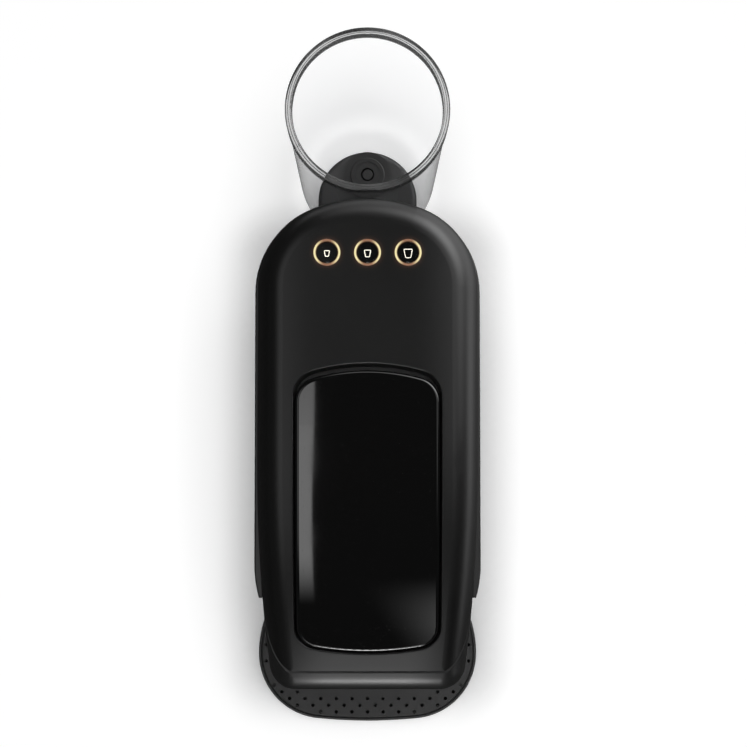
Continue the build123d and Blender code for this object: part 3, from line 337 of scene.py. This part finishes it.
def sign_ink(name):
    """Cream ink lit from behind, a little uneven along its line."""
    finish = new_finish(name)
    cover = finish.noise(finish.here(), 2600.0, 2.0)
    ink = finish.mix(cover, (0.80, 0.74, 0.62, 1.0), (0.95, 0.91, 0.80, 1.0))
    return finish.surface(finish.principled(
        Base_Color=ink, Roughness=0.5, Emission_Color=ink, Emission_Strength=0.45))


finishes = {
    "shell_black": moulded("satin_shell", 0.009, 0.36, depth=0.000012, crown=7.0),
    "cover_black": moulded("satin_cover", 0.0026, 0.36, depth=0.000012, glow=0.030, crown=7.0),
    "lever_black": gloss("polished_lever", 0.0032),
    "button_black": gloss("polished_button", 0.0032, 0.12),
    "ring_amber": lit_ring("amber_ring"),
    "tank_clear": clear("clear_tank"),
    "valve_grey": moulded("satin_valve", 0.018, 0.42),
    "tray_black": moulded("grained_tray", 0.026, 0.46, 1500.0, 0.00006),
    "base_black": moulded("matt_base", 0.040, 0.55, 1800.0, 0.00006),
    "rubber_black": rubber("black_rubber", 0.016),
    "seal_red": rubber("red_seal", (0.30, 0.05, 0.03), 0.55, 0.1),
    "hose_silicone": rubber("milky_hose", (0.66, 0.64, 0.60), 0.38, 0.25),
    "steel": metal("drawn_steel", 0.60, 0.30, (90.0, 1900.0, 700.0)),
    "brass": metal("turned_brass", (0.72, 0.53, 0.22), 0.28, (1800.0, 120.0, 120.0)),
    "aluminium": metal("cast_aluminium", (0.68, 0.69, 0.70), 0.42, (600.0, 600.0, 600.0)),
    "board_green": circuit("green_board"),
    "component_dark": moulded("component_body", (0.028, 0.027, 0.026), 0.5, 900.0, 0.00004),
    "inner_grey": moulded("inner_plastic", 0.055, 0.5, 1600.0, 0.00005),
    "light_white": lamp_lens("lamp_lens"),
}
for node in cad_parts.values():
    for slot in node.material_slots:
        slot.material = finishes[slot.material.name]


# Cup signs

def grid_piece(name, grid, material, closed):
    """Piece of quads between neighbouring grid points; closed joins the last points of both
    directions to the first."""
    index = np.arange(grid.shape[0] * grid.shape[1]).reshape(grid.shape[:2])
    ahead = np.roll(index, -1, axis=0)
    quads = np.stack([index, ahead, np.roll(ahead, -1, axis=1), np.roll(index, -1, axis=1)], axis=-1)
    if not closed:
        quads = quads[:-1, :-1]
    mesh = bpy.data.meshes.new(name)
    mesh.from_pydata(grid.reshape(-1, 3).tolist(), [], quads.reshape(-1, 4).tolist())
    mesh.shade_smooth()
    mesh.materials.append(material)
    piece = bpy.data.objects.new(name, mesh)
    bpy.context.scene.collection.objects.link(piece)
    return piece


def ring_band(path, normal, profile):
    """Closed band: point (u, v) is path(u) + normal(u) * profile(v).x + up * profile(v).y."""
    flat = path[:, None, :] + normal[:, None, :] * profile[None, :, :1]
    height = np.broadcast_to(profile[None, :, 1:], flat.shape[:2] + (1,))
    return np.concatenate([flat, height], axis=2)


def cup_outline(width, height, foot, corner=9.0, steps=128):
    """Tumbler outline: y = height / 2 * p(sin t) and x = half(y) * p(cos t), where n is the corner
    and p(v) = sgn(v)|v|^(2/n). The half width runs straight from foot * width / 2 at the bottom to
    width / 2 at the top. Gives the points and the outward normals."""
    t = np.linspace(0.0, 2.0 * np.pi, steps, endpoint=False)
    across, rise = (np.sign(v) * np.abs(v) ** (2.0 / corner) for v in (np.cos(t), np.sin(t)))
    half = width / 2.0 * (foot + (1.0 - foot) * (rise + 1.0) / 2.0)
    path = np.stack([half * across, height / 2.0 * rise], axis=1)
    run = np.roll(path, -1, axis=0) - np.roll(path, 1, axis=0)
    run /= np.linalg.norm(run, axis=1, keepdims=True)
    return path, np.stack([run[:, 1], -run[:, 0]], axis=1)


def cup_sign(name, node, body, width, height, foot):
    """Printed cup outline on a button: a thin flat band with bevelled edges, proud of the button's
    face by less than 0.1 mm, and a little in front of the button's axis."""
    line, proud, sunk, forward = 0.00045, 0.00006, 0.00004, 0.0006
    bevel = proud * 0.6
    band = np.array([[-0.5, -sunk], [0.5, -sunk], [0.5, bevel],
                     [0.4, proud], [-0.4, proud], [-0.5, bevel]])
    low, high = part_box(node)
    path, normal = cup_outline(width, height, foot)
    grid = ring_band(path, normal, band * [line, 1.0])
    grid += np.array([(low[0] + high[0]) / 2.0, (low[1] + high[1]) / 2.0 - forward, high[2]])
    sign = grid_piece(name, grid, cream, closed=True)
    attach(sign, body)


cream = sign_ink("cream_ink")
cup_shapes = {  # width, height, and the foot's share of the width
    "small": (0.0027, 0.0029, 0.62),
    "medium": (0.0033, 0.0035, 0.64),
    "large": (0.0044, 0.0044, 0.58),
}
for size, shape in cup_shapes.items():
    cup_sign("cup_sign_" + size, "button_" + size, size + "_button", *shape)


# Floor, lights and camera

def paper(name):
    """Pale studio paper with a faint tooth: lit by the lamps near the machine, so that its shadow
    shows, with a painted shade there, as its emission is kept low close to the machine; plain white
    far from it. For rays off gloss it has a painted dark colour and a painted reflection, bright only
    on the machine's right."""
    finish = new_finish(name)
    here = finish.here()
    x, y, _ = finish.axes(here)
    low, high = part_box("housing")
    front, rear = low[1] - painted_shade_front, high[1]
    out_x = (x.math("ABSOLUTE") - high[0]).math("MAXIMUM", 0.0)
    past_y = (y - (front + rear) / 2.0).math("ABSOLUTE") - (rear - front) / 2.0
    out_y = past_y.math("MAXIMUM", 0.0)
    off = (out_x * out_x + out_y * out_y).math("SQRT")
    seen, glossy = finish.ray("Camera", "Transmission"), finish.ray("Glossy")
    # painted shade: the emission that the camera sees is lowest on the machine's footprint and rises
    # over a few centimetres from it
    near = off.ramp(0.008, 0.046) * 0.30 + 0.08
    # painted reflection: for rays off gloss the floor's colour is dark and its emission bright
    # towards the machine's right and rear right
    painted_reflection_right = x.ramp(0.06, 0.26) * (y.ramp(-0.30, 0.20) * 0.10 + 0.01)
    corner = (x + y).ramp(0.25, 0.75) * 0.5
    sheet = finish.mix(finish.noise(here, 220.0, 3.0), shade(0.74), shade(0.78))
    lit = finish.principled(
        Base_Color=finish.mix(glossy, sheet, shade(0.03)), Roughness=0.9, Specular_IOR_Level=0.1,
        Emission_Color=finish.mix(seen * near + glossy * (painted_reflection_right + corner), shade(0.0), shade(1.0)),
        Emission_Strength=1.0)
    white = finish.node("ShaderNodeEmission", None, {"Color": shade(1.0)})
    return finish.surface(finish.blend(seen * off.ramp(0.04, 0.30), lit, white))


def studio(world):
    """A dim room, a little lighter near the horizon; white all round for the camera."""
    finish = Finish(world)
    rise = finish.axes(finish.node("ShaderNodeTexCoord", out="Generated"))[2]
    dome = finish.mix(rise.ramp(0.05, 0.45), shade(0.03), shade(0.006))
    colour = finish.mix(finish.ray("Camera"), dome, shade(1.0))
    room = finish.node("ShaderNodeBackground", None, {"Color": colour, "Strength": 1.0})
    return finish.surface(room)


def panel(name, place, aim, size, radiance, turn=0.0, soft=(0.0, 0.0), gloss_only=True):
    """Rectangular light of a given brightness, facing the point it is aimed at; soft is the share
    of its half width and half length over which it fades to nothing. It either shows in gloss or
    lights the rest."""
    lamp = bpy.data.lights.new(name, "AREA")
    lamp.shape = "RECTANGLE"
    lamp.size, lamp.size_y = size
    lamp.energy = radiance * size[0] * size[1] * math.pi
    finish = Finish(lamp)
    spot = finish.axes(finish.node("ShaderNodeNewGeometry", out="Parametric"))
    fade = 1.0
    for across, share in zip(spot, soft):
        if share:
            off = (across * 2.0 - 1.0).math("ABSOLUTE")
            fade = off.ramp(1.0 - share, 1.0, 1.0, 0.0) * fade
    finish.surface(finish.node("ShaderNodeEmission", None, {"Strength": fade}))
    light = bpy.data.objects.new(name, lamp)
    light.location = place
    light.rotation_euler = (Vector(aim) - Vector(place)).to_track_quat("-Z", "Y").to_euler()
    light.rotation_euler.rotate_axis("Z", turn)
    light.visible_camera = False
    light.visible_glossy, light.visible_diffuse = gloss_only, not gloss_only
    bpy.context.scene.collection.objects.link(light)


u = np.linspace(-floor_half, floor_half, floor_points)
floor_grid = np.stack(np.broadcast_arrays(u[:, None], u[None, :], 0.0), axis=-1)
floor = grid_piece("floor", floor_grid, paper("floor_paper"), closed=False)
bpy.context.scene.world = studio(bpy.data.worlds.new("studio"))

panel("overhead", (0.10, 0.0, 2.20), (0.09, 0.0, 0.0), (1.0, 1.0), 14.2, gloss_only=False)
panel("right_soft", (0.95, 0.88, 0.80), (0.0, 0.0, 0.2), (2.4, 1.7), 1.75, soft=(0.9, 0.9))
panel("right_top", (0.98, 0.10, 1.95), (0.0, 0.0, 0.25), (2.0, 0.90), 0.45, soft=(0.9, 0.9))
panel("rear_soft", (0.10, 1.60, 0.80), (0.0, 0.1, 0.15), (1.2, 1.2), 0.45, soft=(0.6, 0.6))
panel("left_soft", (-0.94, -0.1, 1.72), (0.0, -0.1, 0.25), (2.0, 1.30), 0.35, soft=(0.4, 0.9))
panel("front_low", (0.03, -1.80, 0.46), (0.0, -0.1, 0.2), (0.85, 0.66), 5.7, soft=(0.9, 0.7))
panel("front_mid", (-0.12, -1.62, 1.08), (0.0, -0.1, 0.2), (1.0, 0.62), 1.15, soft=(0.8, 0.7))
panel("front_glow", (0.40, -1.95, 1.95), (0.0, -0.1, 0.2), (0.7, 1.5), 0.86, soft=(0.9, 0.9))
panel("left_strip", (-0.1094, -0.50, 1.95), (-0.1094, -0.50, 0.0), (0.036, 2.00), 0.94,
      turn=-0.0103, soft=(0.0, 0.6))

camera = bpy.data.cameras.new("camera")
camera.sensor_width = 36.0
camera.lens = 74.94
camera.shift_x = 0.008
camera.shift_y = 0.04
viewer = bpy.data.objects.new("camera", camera)
viewer.location = (0.0, -0.0452, 1.0486)
viewer.rotation_euler = (0.05058, 0.0, 0.0)
bpy.context.scene.collection.objects.link(viewer)
bpy.context.scene.camera = viewer
bpy.context.scene.view_settings.view_transform = "Standard"
